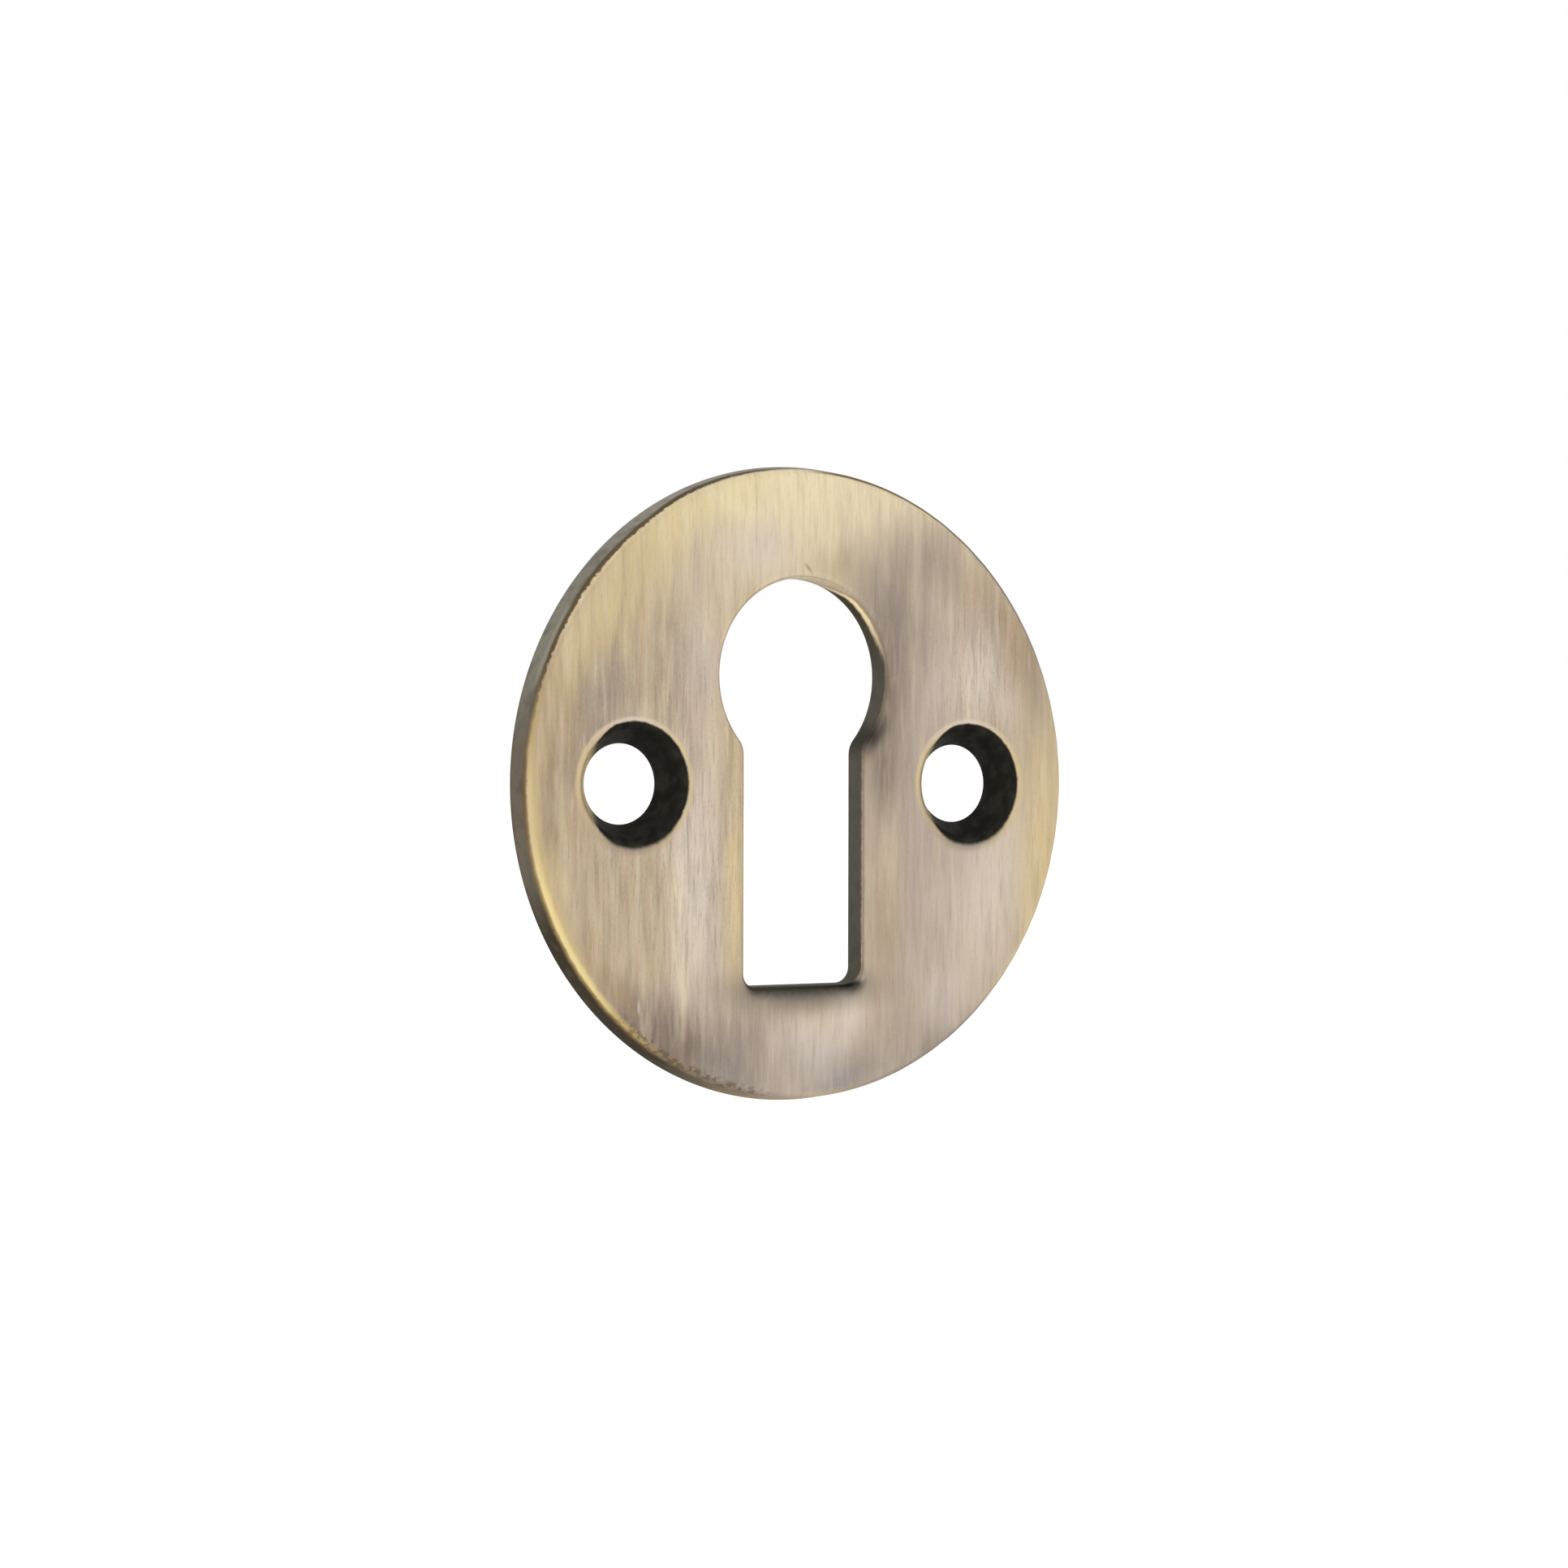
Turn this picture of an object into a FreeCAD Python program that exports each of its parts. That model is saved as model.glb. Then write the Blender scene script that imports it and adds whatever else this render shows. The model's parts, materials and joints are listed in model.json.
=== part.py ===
import FreeCAD, Part
import math
import os

# A round keyhole escutcheon: one flat plate with a keyhole and two countersunk screw holes.
# X runs to the right and Z up, as the plate hangs on its door, and Y runs into the door.
# The origin is the centre of the back face, which lies on the door in the plane Y = 0.

# The plate, in millimetres. It is widest at the back, because the rim's wall leans in towards the
# front by some degrees.
PLATE_DIAMETER = 32.0
PLATE_THICKNESS = 1.6
RIM_LEAN = 9.0
RIM_FRONT_ROUNDING = 0.4
RIM_BACK_BREAK = 0.12

# The keyhole is a round head over a straight slot. The head's centre lies above the plate's
# centre, and the slot's foot lies below it.
HEAD_DIAMETER = 9.9
HEAD_CENTRE_ABOVE = 5.4
SLOT_WIDTH = 7.05
FOOT_BELOW = 10.15
SHOULDER_ROUNDING = 1.2
FOOT_CORNER_RADIUS = 0.8

# Polishing runs up and down the plate, so it wears the foot's edge rounder than the slot's sides
SIDE_EDGE_ROUNDING = 0.35
FOOT_EDGE_ROUNDING = 0.55

# Two holes for countersunk wood screws, side by side on the plate's level diameter. Their cones are
# steep and run nearly to the back.
SCREW_SPACING = 19.8
SCREW_HOLE_DIAMETER = 4.0
COUNTERSINK_DIAMETER = 5.8
COUNTERSINK_ANGLE = 60.0
COUNTERSINK_EDGE_ROUNDING = 0.7

# How far a cutting tool runs past the faces that it cuts
CUTTER_RUN_OUT = 1.0

# Points that lie nearer to each other than this are the same point
SAME_PLACE = 1e-6

FRONT_Y = -PLATE_THICKNESS
INTO_DOOR = FreeCAD.Vector(0, 1, 0)


def line(start, end):
    """A straight edge between two points."""
    return Part.LineSegment(start, end).toShape()


def arc(centre, radius, start, end):
    """A circular edge in the plate's own plane, between two angles in degrees from +X towards +Z."""
    points = []
    for angle in (start, (start + end) / 2, end):
        turn = math.radians(angle)
        points.append(centre + FreeCAD.Vector(math.cos(turn), 0, math.sin(turn)) * radius)
    return Part.Arc(*points).toShape()


def quarter_view(x, y):
    """A point of a turned section, at a distance x out from the plate's centre and at a depth y."""
    return FreeCAD.Vector(x, y, 0)


def turned_mouth(rim_x, radius, end_turn):
    """A rounding that starts flush with the front face at rim_x and turns into the plate.

    A point at a turn t lies radius * sin(t) out and radius * (1 - cos(t)) deep, so a positive
    turn leads outwards, over the rim, and a negative turn leads inwards, into a hole.
    """
    points = []
    for turn in (0, end_turn / 2, end_turn):
        out = radius * math.sin(turn)
        deep = radius * (1 - math.cos(turn))
        points.append(quarter_view(rim_x + out, FRONT_Y + deep))
    return points


def plate_blank():
    """The disc without its holes, turned about its own axis.

    The rim's front rounding touches the front face and the leaning wall, so its centre lies one
    rounding radius from both.
    """
    radius = PLATE_DIAMETER / 2
    centre_front = quarter_view(0, FRONT_Y)
    centre_back = quarter_view(0, 0)
    lean = math.radians(RIM_LEAN)
    wall_depth = PLATE_THICKNESS - RIM_BACK_BREAK - RIM_FRONT_ROUNDING
    rounding_in = (RIM_FRONT_ROUNDING + wall_depth * math.sin(lean)) / math.cos(lean)
    rim = turned_mouth(radius - rounding_in, RIM_FRONT_ROUNDING, math.pi / 2 - lean)
    break_front = quarter_view(radius, -RIM_BACK_BREAK)
    break_back = quarter_view(radius - RIM_BACK_BREAK, 0)
    section = Part.Wire([
        line(centre_front, rim[0]),
        Part.Arc(*rim).toShape(),
        line(rim[-1], break_front),
        line(break_front, break_back),
        line(break_back, centre_back),
        line(centre_back, centre_front),
    ])
    return Part.Face(section).revolve(centre_back, INTO_DOOR, 360)


def keyhole_outline(y):
    """The keyhole's outline at a depth y, in which each straight and arc runs smoothly into the next.

    A shoulder's arc touches the slot's side and the head's circle from outside the hole, so its
    centre lies one shoulder radius beyond both.
    """
    head_radius = HEAD_DIAMETER / 2
    half_slot = SLOT_WIDTH / 2
    shoulder_x = half_slot + SHOULDER_ROUNDING
    shoulder_drop = math.sqrt((head_radius + SHOULDER_ROUNDING) ** 2 - shoulder_x ** 2)
    shoulder_z = HEAD_CENTRE_ABOVE - shoulder_drop
    shoulder_turn = math.degrees(math.atan2(shoulder_drop, shoulder_x))
    corner_x = half_slot - FOOT_CORNER_RADIUS
    corner_z = FOOT_CORNER_RADIUS - FOOT_BELOW

    def at(x, z):
        return FreeCAD.Vector(x, y, z)

    return Part.Wire([
        line(at(half_slot, corner_z), at(half_slot, shoulder_z)),
        arc(at(shoulder_x, shoulder_z), SHOULDER_ROUNDING, 180, 180 - shoulder_turn),
        arc(at(0, HEAD_CENTRE_ABOVE), head_radius, -shoulder_turn, 180 + shoulder_turn),
        arc(at(-shoulder_x, shoulder_z), SHOULDER_ROUNDING, shoulder_turn, 0),
        line(at(-half_slot, shoulder_z), at(-half_slot, corner_z)),
        arc(at(-corner_x, corner_z), FOOT_CORNER_RADIUS, 180, 270),
        line(at(-corner_x, -FOOT_BELOW), at(corner_x, -FOOT_BELOW)),
        arc(at(corner_x, corner_z), FOOT_CORNER_RADIUS, 270, 360),
    ])


def cut_keyhole(plate):
    """The plate with the keyhole cut straight through it."""
    outline = keyhole_outline(FRONT_Y - CUTTER_RUN_OUT)
    length = PLATE_THICKNESS + 2 * CUTTER_RUN_OUT
    return plate.cut(Part.Face(outline).extrude(INTO_DOOR * length))


def rounding_at(vertex):
    """The rounding of the keyhole's front edge at a vertex: large at the foot's ends, small above."""
    on_foot = vertex.Point.z < SAME_PLACE - FOOT_BELOW
    return FOOT_EDGE_ROUNDING if on_foot else SIDE_EDGE_ROUNDING


def round_keyhole_edge(plate):
    """The plate with the keyhole's front edge rounded, by a radius that grows round the foot's corners."""
    outline = keyhole_outline(FRONT_Y)
    document = FreeCAD.newDocument()
    sharp = document.addObject("Part::Feature")
    sharp.Shape = plate
    rounded = document.addObject("Part::Fillet")
    rounded.Base = sharp
    rounded.Edges = [
        (number, rounding_at(edge.firstVertex()), rounding_at(edge.lastVertex()))
        for number, edge in enumerate(plate.Edges, 1)
        if all(outline.distToShape(vertex)[0] < SAME_PLACE for vertex in edge.Vertexes)
    ]
    document.recompute()
    return rounded.Shape


def screw_hole(x):
    """The tool for one screw hole, turned about its own axis: shank, cone and rounded mouth.

    The shank runs past the back face by the cone's depth and the run-out, so that a cone deeper
    than the plate still ends in it.
    """
    slope = math.radians(COUNTERSINK_ANGLE / 2)
    shank_x = x + SCREW_HOLE_DIAMETER / 2
    cone_x = x + COUNTERSINK_DIAMETER / 2
    cone_depth = (cone_x - shank_x) / math.tan(slope)
    mouth_turn = math.pi / 2 - slope
    mouth_x = cone_x + COUNTERSINK_EDGE_ROUNDING * math.tan(mouth_turn / 2)

    axis_front = quarter_view(x, FRONT_Y - CUTTER_RUN_OUT)
    mouth_front = quarter_view(mouth_x, FRONT_Y - CUTTER_RUN_OUT)
    mouth = turned_mouth(mouth_x, COUNTERSINK_EDGE_ROUNDING, -mouth_turn)
    cone_foot = quarter_view(shank_x, FRONT_Y + cone_depth)
    shank_back = quarter_view(shank_x, cone_depth + CUTTER_RUN_OUT)
    axis_back = quarter_view(x, cone_depth + CUTTER_RUN_OUT)
    section = Part.Wire([
        line(axis_front, mouth_front),
        line(mouth_front, mouth[0]),
        Part.Arc(*mouth).toShape(),
        line(mouth[-1], cone_foot),
        line(cone_foot, shank_back),
        line(shank_back, axis_back),
        line(axis_back, axis_front),
    ])
    return Part.Face(section).revolve(axis_back, INTO_DOOR, 360)


plate = round_keyhole_edge(cut_keyhole(plate_blank()))
for side in (-1, 1):
    plate = plate.cut(screw_hole(side * SCREW_SPACING / 2))

os.makedirs("parts", exist_ok=True)
plate.exportStep("parts/escutcheon_plate.step")
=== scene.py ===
import json
import math

import bpy
import numpy as np
from mathutils import Matrix, Vector
from mathutils.geometry import delaunay_2d_cdt


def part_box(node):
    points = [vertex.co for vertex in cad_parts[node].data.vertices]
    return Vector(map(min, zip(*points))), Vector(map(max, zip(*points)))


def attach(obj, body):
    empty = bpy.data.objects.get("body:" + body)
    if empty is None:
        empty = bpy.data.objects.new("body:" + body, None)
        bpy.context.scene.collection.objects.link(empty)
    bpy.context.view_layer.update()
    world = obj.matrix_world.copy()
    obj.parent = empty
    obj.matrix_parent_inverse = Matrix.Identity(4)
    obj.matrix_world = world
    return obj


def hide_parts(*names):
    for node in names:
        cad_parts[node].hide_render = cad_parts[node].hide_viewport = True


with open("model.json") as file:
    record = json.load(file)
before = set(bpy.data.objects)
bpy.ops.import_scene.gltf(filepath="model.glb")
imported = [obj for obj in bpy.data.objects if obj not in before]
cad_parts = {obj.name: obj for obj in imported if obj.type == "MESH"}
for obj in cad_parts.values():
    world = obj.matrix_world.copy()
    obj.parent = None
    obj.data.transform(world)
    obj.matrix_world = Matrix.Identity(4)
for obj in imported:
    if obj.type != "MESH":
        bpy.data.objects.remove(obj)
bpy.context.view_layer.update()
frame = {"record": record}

# A round keyhole escutcheon in brushed antique brass. X runs to the right and Z up as it hangs on its
# door, and Y runs into the door. Shapes are worked out in millimetres, and a mesh takes them in metres.
METRE = 1000.0

# The disc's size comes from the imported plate, and its screw holes' from the record
low_corner, high_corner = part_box("escutcheon_plate")
PLATE_RADIUS = (high_corner.x - low_corner.x) / 2 * METRE
THICKNESS = (high_corner.y - low_corner.y) * METRE
FRONT_Y = -THICKNESS
screw_holes = next(m for m in frame["record"]["mounts"] if m["name"] == "screw_holes")
SCREW_SPACING = screw_holes["dims"]["spacing_x_mm"]
SHANK_RADIUS = screw_holes["dims"]["hole_r_mm"]

# The rim's wall leans in towards the front, in degrees. Its front edge is rounded, and its back edge
# is only broken.
RIM_LEAN = 9.0
RIM_ROUNDING = 0.4
RIM_BREAK = 0.12

# The rim's rounding is uneven by a sum of sine waves, whose phases are drawn from the seed
RIM_WAVES = 90
RIM_WAVE_HEIGHT = 0.018
RIM_WAVE_SEED = 3

# The keyhole: a round head over a straight slot, joined by shoulders, with a more worn edge at its foot
HEAD_RADIUS = 4.95
HEAD_ABOVE = 5.4
HALF_SLOT = 3.525
FOOT_BELOW = 10.15
SHOULDER_RADIUS = 1.2
FOOT_CORNER = 0.8
SIDE_ROUNDING = 0.35
FOOT_ROUNDING = 0.55
KEYHOLE_BREAK = 0.03

# The countersinks: steep cones, which run nearly to the back and open to a rounded mouth. The mouth
# turns from the face into the cone, and starts some way from the shank's wall.
SINK_RADIUS = 2.9
SINK_HALF_ANGLE = math.radians(30.0)
MOUTH_ROUNDING = 0.7
MOUTH_TURN = math.pi / 2 - SINK_HALF_ANGLE
MOUTH_START = SINK_RADIUS - SHANK_RADIUS + MOUTH_ROUNDING * math.tan(MOUTH_TURN / 2)
SINK_BREAK = 0.02

# How far each worked edge reaches over the flat faces before the flat lands take over
RIM_REACH = 1.8
KEYHOLE_REACH = 0.95
SINK_REACH = 2.2

# How finely the surfaces are divided: the stations along the round edges, the length of a step along
# the keyhole's edge and over the lands, and the number of steps across each part of a section
RIM_STATIONS = 720
SINK_STATIONS = 216
KEYHOLE_STEP = 0.125
LAND_STEP = 0.45
BACK_STEPS = 4
BREAK_STEPS = 3
WALL_STEPS = 8
ROUNDING_STEPS = 10
FRONT_STEPS = 11
SHANK_STEPS = 2
CONE_STEPS = 8
MOUTH_STEPS = 12
MOUTH_FRONT_STEPS = 6

# A wall's steps grow shorter towards its rounding, and the front face's grow longer away from it
WALL_CROWDING = 0.8
FRONT_CROWDING = 1.6

# Points of the lands' plan that lie nearer to each other than this are the same point
SAME_PLACE = 1e-7

# Distances to many points are worked out in this many parts, to save memory
DISTANCE_PARTS = 64

# The kinds of worked edge, and the flat land between them
RIM, KEYHOLE, SINK = range(3)
LAND = -1


def wavy(turns, count, size, seed):
    """A closed, uneven line: the sum of sines of 1 to count waves in a turn, each with its own phase.

    The phases are drawn once from the seed, and the waves' heights make the whole about size high.
    """
    waves = np.arange(1, count + 1)
    phases = np.random.default_rng(seed).uniform(0, 2 * math.pi, count)
    return size * math.sqrt(2 / count) * np.sin(np.outer(turns, waves) + phases).sum(1)


def ring(centre, radius, stations, into_metal):
    """A circle as a path: its points, and at each the unit direction that leads into the metal.

    into_metal is -1 where the metal lies inside the circle and 1 where it lies outside. The path runs
    with the metal on its left, seen from the front.
    """
    turns = -into_metal * np.linspace(0, 2 * math.pi, stations, endpoint=False)
    radial = np.stack([np.cos(turns), np.sin(turns)], 1)
    return np.array(centre) + radius * radial, into_metal * radial


def arc_run(centre, radius, start, end, into_metal):
    """One arc of the keyhole's path between two angles, without its last point."""
    count = max(2, math.ceil(abs(end - start) * radius / KEYHOLE_STEP))
    turns = np.linspace(start, end, count, endpoint=False)
    radial = np.stack([np.cos(turns), np.sin(turns)], 1)
    return np.array(centre) + radius * radial, into_metal * radial


def straight_run(start, end):
    """One straight of the keyhole's path, without its last point, with the metal on its left."""
    start, end = np.array(start), np.array(end)
    length = np.linalg.norm(end - start)
    share = np.linspace(0, 1, math.ceil(length / KEYHOLE_STEP), endpoint=False)[:, None]
    along = (end - start) / length
    left = np.array([-along[1], along[0]])
    return start + share * (end - start), np.broadcast_to(left, (len(share), 2))


def keyhole_path():
    """The keyhole's outline: up the slot's left side, over the head, down the right side, along the foot.

    A shoulder's arc touches the slot's side and the head's circle from the metal's side, so its centre
    lies one shoulder radius beyond both.
    """
    shoulder_x = HALF_SLOT + SHOULDER_RADIUS
    drop = math.sqrt((HEAD_RADIUS + SHOULDER_RADIUS) ** 2 - shoulder_x ** 2)
    shoulder_z = HEAD_ABOVE - drop
    turn = math.atan2(drop, shoulder_x)
    corner_x = HALF_SLOT - FOOT_CORNER
    corner_z = FOOT_CORNER - FOOT_BELOW
    quarter = math.pi / 2
    runs = [
        straight_run((-HALF_SLOT, corner_z), (-HALF_SLOT, shoulder_z)),
        arc_run((-shoulder_x, shoulder_z), SHOULDER_RADIUS, 0, turn, -1),
        arc_run((0, HEAD_ABOVE), HEAD_RADIUS, math.pi + turn, -turn, 1),
        arc_run((shoulder_x, shoulder_z), SHOULDER_RADIUS, math.pi - turn, math.pi, -1),
        straight_run((HALF_SLOT, shoulder_z), (HALF_SLOT, corner_z)),
        arc_run((corner_x, corner_z), FOOT_CORNER, 0, -quarter, 1),
        straight_run((corner_x, -FOOT_BELOW), (-corner_x, -FOOT_BELOW)),
        arc_run((-corner_x, corner_z), FOOT_CORNER, -quarter, -2 * quarter, 1),
    ]
    return tuple(np.concatenate(part) for part in zip(*runs))


def steps(start, end, count):
    """A row of evenly spaced values, from start to end in a number of steps."""
    return np.linspace(start, end, count + 1)[None, :]


def spans(*parts):
    """Joins a profile's spans end to end, each given as (inward, depth, run) over stations and steps."""
    stations = max(np.shape(value)[0] for part in parts for value in part if np.ndim(value) == 2)
    joined = []
    for index in range(3):
        rows = []
        for part in parts:
            width = max(np.shape(value)[-1] for value in part if np.ndim(value))
            rows.append(np.broadcast_to(part[index], (stations, width)))
        joined.append(np.concatenate(rows, 1))
    return joined


def face_start(rounding, lean, back_break):
    """How far in from an edge's widest place its rounding meets the front face.

    The rounding touches the leaning wall and the front face, so its centre lies its radius from both.
    """
    lean = math.radians(lean)
    return (rounding + (THICKNESS - back_break - rounding) * math.sin(lean)) / math.cos(lean)


def edge_profile(rounding, lean, back_break, reach):
    """The section of an edge, from the back face round its wall and its rounding to the front face.

    inward is the distance into the metal from the widest place, and depth the Y. A place on a rounding
    of radius r, at a turn t from the front face, lies r * sin t out from its centre and r * (1 - cos t)
    behind the face. The run is the way over the edge: minus the distance to the rounding on the front
    face, 0 to 1 across the rounding, and 1 plus the distance behind it on the wall.
    """
    rounding = np.asarray(rounding, float).reshape(-1, 1)
    centre = face_start(rounding, lean, back_break)
    lean = math.radians(lean)
    full_turn = math.pi / 2 - lean
    wall_in = centre - rounding * math.cos(lean)
    wall_end = FRONT_Y + rounding * (1 - math.sin(lean))
    back = steps(reach, back_break, BACK_STEPS)[:, :-1]
    bevel = steps(0, 1, BREAK_STEPS)[:, :-1]
    wall = steps(0, 1, WALL_STEPS)[:, :-1] ** WALL_CROWDING
    turn = full_turn * steps(1, 0, ROUNDING_STEPS)
    front = steps(0, 1, FRONT_STEPS)[:, 1:] ** FRONT_CROWDING
    wall_y = -back_break + (wall_end + back_break) * wall
    return spans(
        (back, 0 * back, 1 - wall_end + back - back_break),
        (back_break * (1 - bevel), -back_break * bevel, 1 - wall_end - back_break * bevel),
        (wall_in * wall, wall_y, 1 + wall_y - wall_end),
        (centre - rounding * np.sin(turn), FRONT_Y + rounding * (1 - np.cos(turn)), turn / full_turn),
        (centre + (reach - centre) * front, FRONT_Y + 0 * front, (centre - reach) * front),
    )


def sink_profile():
    """The section of a screw hole, from the back face up its short shank and its cone to its mouth.

    A place on the mouth's rounding, at a turn t from the front face, lies its radius * sin t nearer to
    the hole than the mouth's start, and its radius * (1 - cos t) deep. The run goes from 0 on the face
    to 1 where the cone starts.
    """
    turn = MOUTH_TURN * steps(1, 0, MOUTH_STEPS)
    lip = MOUTH_START - MOUTH_ROUNDING * np.sin(turn)
    lip_y = FRONT_Y + MOUTH_ROUNDING * (1 - np.cos(turn))
    foot_y = FRONT_Y + (SINK_RADIUS - SHANK_RADIUS) / math.tan(SINK_HALF_ANGLE)
    back = steps(SINK_REACH, SINK_BREAK, BACK_STEPS)
    shank_y = steps(-SINK_BREAK, foot_y, SHANK_STEPS)[:, :-1]
    cone = steps(0, 1, CONE_STEPS)[:, :-1]
    cone_y = foot_y + (lip_y[0, 0] - foot_y) * cone
    front = steps(MOUTH_START, SINK_REACH, MOUTH_FRONT_STEPS)[:, 1:]
    one_station = np.zeros((SINK_STATIONS, 1))
    return spans(
        (back + one_station, 0 * back, 1 + THICKNESS + back),
        (0 * shank_y, shank_y, 1 + shank_y - lip_y[0, 0]),
        (lip[0, 0] * cone, cone_y, 1 + cone_y - lip_y[0, 0]),
        (lip, lip_y, turn / MOUTH_TURN),
        (front, FRONT_Y + 0 * front, MOUTH_START - front),
    )


def carried(path, profile):
    """A profile carried along a closed path: the path's point, plus the inward distance into the metal."""
    points, into = path
    inward, depth, run = profile
    plan = points[:, None, :] + inward[:, :, None] * into[:, None, :]
    places = np.stack([plan[..., 0], depth, plan[..., 1]], 2)
    return places.reshape(-1, 3), run.ravel(), inward.shape


def quads(number):
    """The faces of a closed band, from its vertices' numbers over stations and steps."""
    after = np.roll(number, -1, 0)
    corners = [number[:, :-1], after[:, :-1], after[:, 1:], number[:, 1:]]
    return np.stack(corners, 2).reshape(-1, 4)


def way_off(places, points):
    """The distance of each place from the nearest of the points."""
    parts = np.array_split(places, DISTANCE_PARTS)
    return np.concatenate([np.linalg.norm(part[:, None] - points, axis=2).min(1) for part in parts])


def within(places, loop):
    """Whether each place lies inside a closed loop: a line from it to the right crosses the loop an odd
    number of times."""
    x, z = places[:, :1], places[:, 1:]
    start_x, start_z = loop.T
    end_x, end_z = np.roll(loop, -1, 0).T
    crosses = (start_z > z) != (end_z > z)
    rise = np.where(end_z == start_z, 1, end_z - start_z)
    meets = start_x + (z - start_z) * (end_x - start_x) / rise
    return (crosses & (x < meets)).sum(1) % 2 == 1


def land_plan(loops):
    """The flat land between the worked edges, as points inside it and triangles over loops and points.

    The points stand on a triangular lattice, more than half a step away from every loop, and a Delaunay
    triangulation that keeps the loops' edges joins them. The first loop is the rim's.
    """
    def on_land(places):
        in_holes = np.any([within(places, loop) for loop in loops[1:]], axis=0)
        return within(places, loops[0]) & ~in_holes

    columns = np.arange(-PLATE_RADIUS, PLATE_RADIUS, LAND_STEP)
    rows = np.arange(-PLATE_RADIUS, PLATE_RADIUS, LAND_STEP * math.sqrt(3) / 2)
    lattice = np.stack(np.meshgrid(columns, rows), 2)
    lattice[1::2, :, 0] += LAND_STEP / 2
    inner = lattice.reshape(-1, 2)
    outline = np.concatenate(loops)
    inner = inner[on_land(inner) & (way_off(inner, outline) > LAND_STEP / 2)]

    starts = np.cumsum([0] + [len(loop) for loop in loops])
    edges = [
        (start + i, start + (i + 1) % (end - start))
        for start, end in zip(starts[:-1], starts[1:])
        for i in range(end - start)
    ]
    corners = np.concatenate([outline, inner])
    found = delaunay_2d_cdt([Vector(c) for c in corners], edges, [], 0, SAME_PLACE)
    back_to = np.array([origins[0] for origins in found[3]])
    triangles = back_to[np.array(found[2])]
    return inner, triangles[on_land(corners[triangles].mean(1))]


def worked_edges():
    """The four worked edges, each as its kind, its path and its section."""
    turns = np.linspace(0, 2 * math.pi, RIM_STATIONS, endpoint=False)
    rim_rounding = RIM_ROUNDING + wavy(turns, RIM_WAVES, RIM_WAVE_HEIGHT, RIM_WAVE_SEED)
    rim = ring((0, 0), PLATE_RADIUS, RIM_STATIONS, -1)
    keyhole = keyhole_path()
    at_foot = np.clip(-keyhole[1][:, 1], 0, 1) * (keyhole[0][:, 1] < 0)
    foot_rounding = SIDE_ROUNDING + (FOOT_ROUNDING - SIDE_ROUNDING) * at_foot
    edges = [
        (RIM, rim, edge_profile(rim_rounding, RIM_LEAN, RIM_BREAK, RIM_REACH)),
        (KEYHOLE, keyhole, edge_profile(foot_rounding, 0, KEYHOLE_BREAK, KEYHOLE_REACH)),
    ]
    for x in (-SCREW_SPACING / 2, SCREW_SPACING / 2):
        edges.append((SINK, ring((x, 0), SHANK_RADIUS, SINK_STATIONS, 1), sink_profile()))
    return edges


def plate_mesh():
    """The whole plate as one closed mesh: four worked edges and the two flat lands between them.

    Gives its places, its faces, and how far each place is over each kind of edge.
    """
    places, faces, runs, kinds = [], [], [], []
    front_numbers, back_numbers, loops = [], [], []
    first = 0
    for kind, path, profile in worked_edges():
        spots, run, shape = carried(path, profile)
        number = first + np.arange(len(spots)).reshape(shape)
        places.append(spots)
        runs.append(run)
        kinds.append(np.full(len(spots), kind))
        faces += quads(number).tolist()
        front_numbers.append(number[:, -1])
        back_numbers.append(number[:, 0])
        loops.append(spots.reshape(shape + (3,))[:, -1, [0, 2]])
        first += len(spots)

    inner, triangles = land_plan(loops)
    for depth, outline, turn_over in ((FRONT_Y, front_numbers, False), (0.0, back_numbers, True)):
        numbers = np.concatenate(outline + [first + np.arange(len(inner))])
        land = numbers[triangles]
        faces += (land[:, ::-1] if turn_over else land).tolist()
        places.append(np.stack([inner[:, 0], np.full(len(inner), depth), inner[:, 1]], 1))
        runs.append(np.full(len(inner), np.nan))
        kinds.append(np.full(len(inner), LAND))
        first += len(inner)

    places = np.concatenate(places)
    return places, faces, edge_runs(places, np.concatenate(runs), np.concatenate(kinds))


def edge_runs(places, own_run, kinds):
    """How far each place is over each kind of edge: the rim, the keyhole and the countersinks.

    A place on an edge's own band has that band's run. Elsewhere the run is minus the distance from the
    edge's rounding, measured in the plate's plane.
    """
    plan = places[:, [0, 2]]
    keyhole_points, _ = keyhole_path()
    starts = [face_start(RIM_ROUNDING, RIM_LEAN, RIM_BREAK), SIDE_ROUNDING, MOUTH_START]
    away = [
        PLATE_RADIUS - np.hypot(*plan.T),
        way_off(plan, keyhole_points),
        np.minimum(
            np.hypot(plan[:, 0] + SCREW_SPACING / 2, plan[:, 1]),
            np.hypot(plan[:, 0] - SCREW_SPACING / 2, plan[:, 1]),
        ) - SHANK_RADIUS,
    ]
    return [
        np.where(kinds == kind, own_run, start - far)
        for kind, start, far in zip((RIM, KEYHOLE, SINK), starts, away)
    ]


def make_plate():
    """The plate's object, with a run over each kind of edge as an attribute for its finish."""
    places, faces, runs = plate_mesh()
    mesh = bpy.data.meshes.new("brushed_plate")
    mesh.from_pydata((places / METRE).tolist(), [], faces)
    for name, run in zip(("rim_run", "keyhole_run", "sink_run"), runs):
        attribute = mesh.attributes.new(name, "FLOAT", "POINT")
        attribute.data.foreach_set("value", run.astype(np.float32))
    mesh.shade_smooth()
    plate = bpy.data.objects.new("brushed_plate", mesh)
    bpy.context.scene.collection.objects.link(plate)
    return plate


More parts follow.
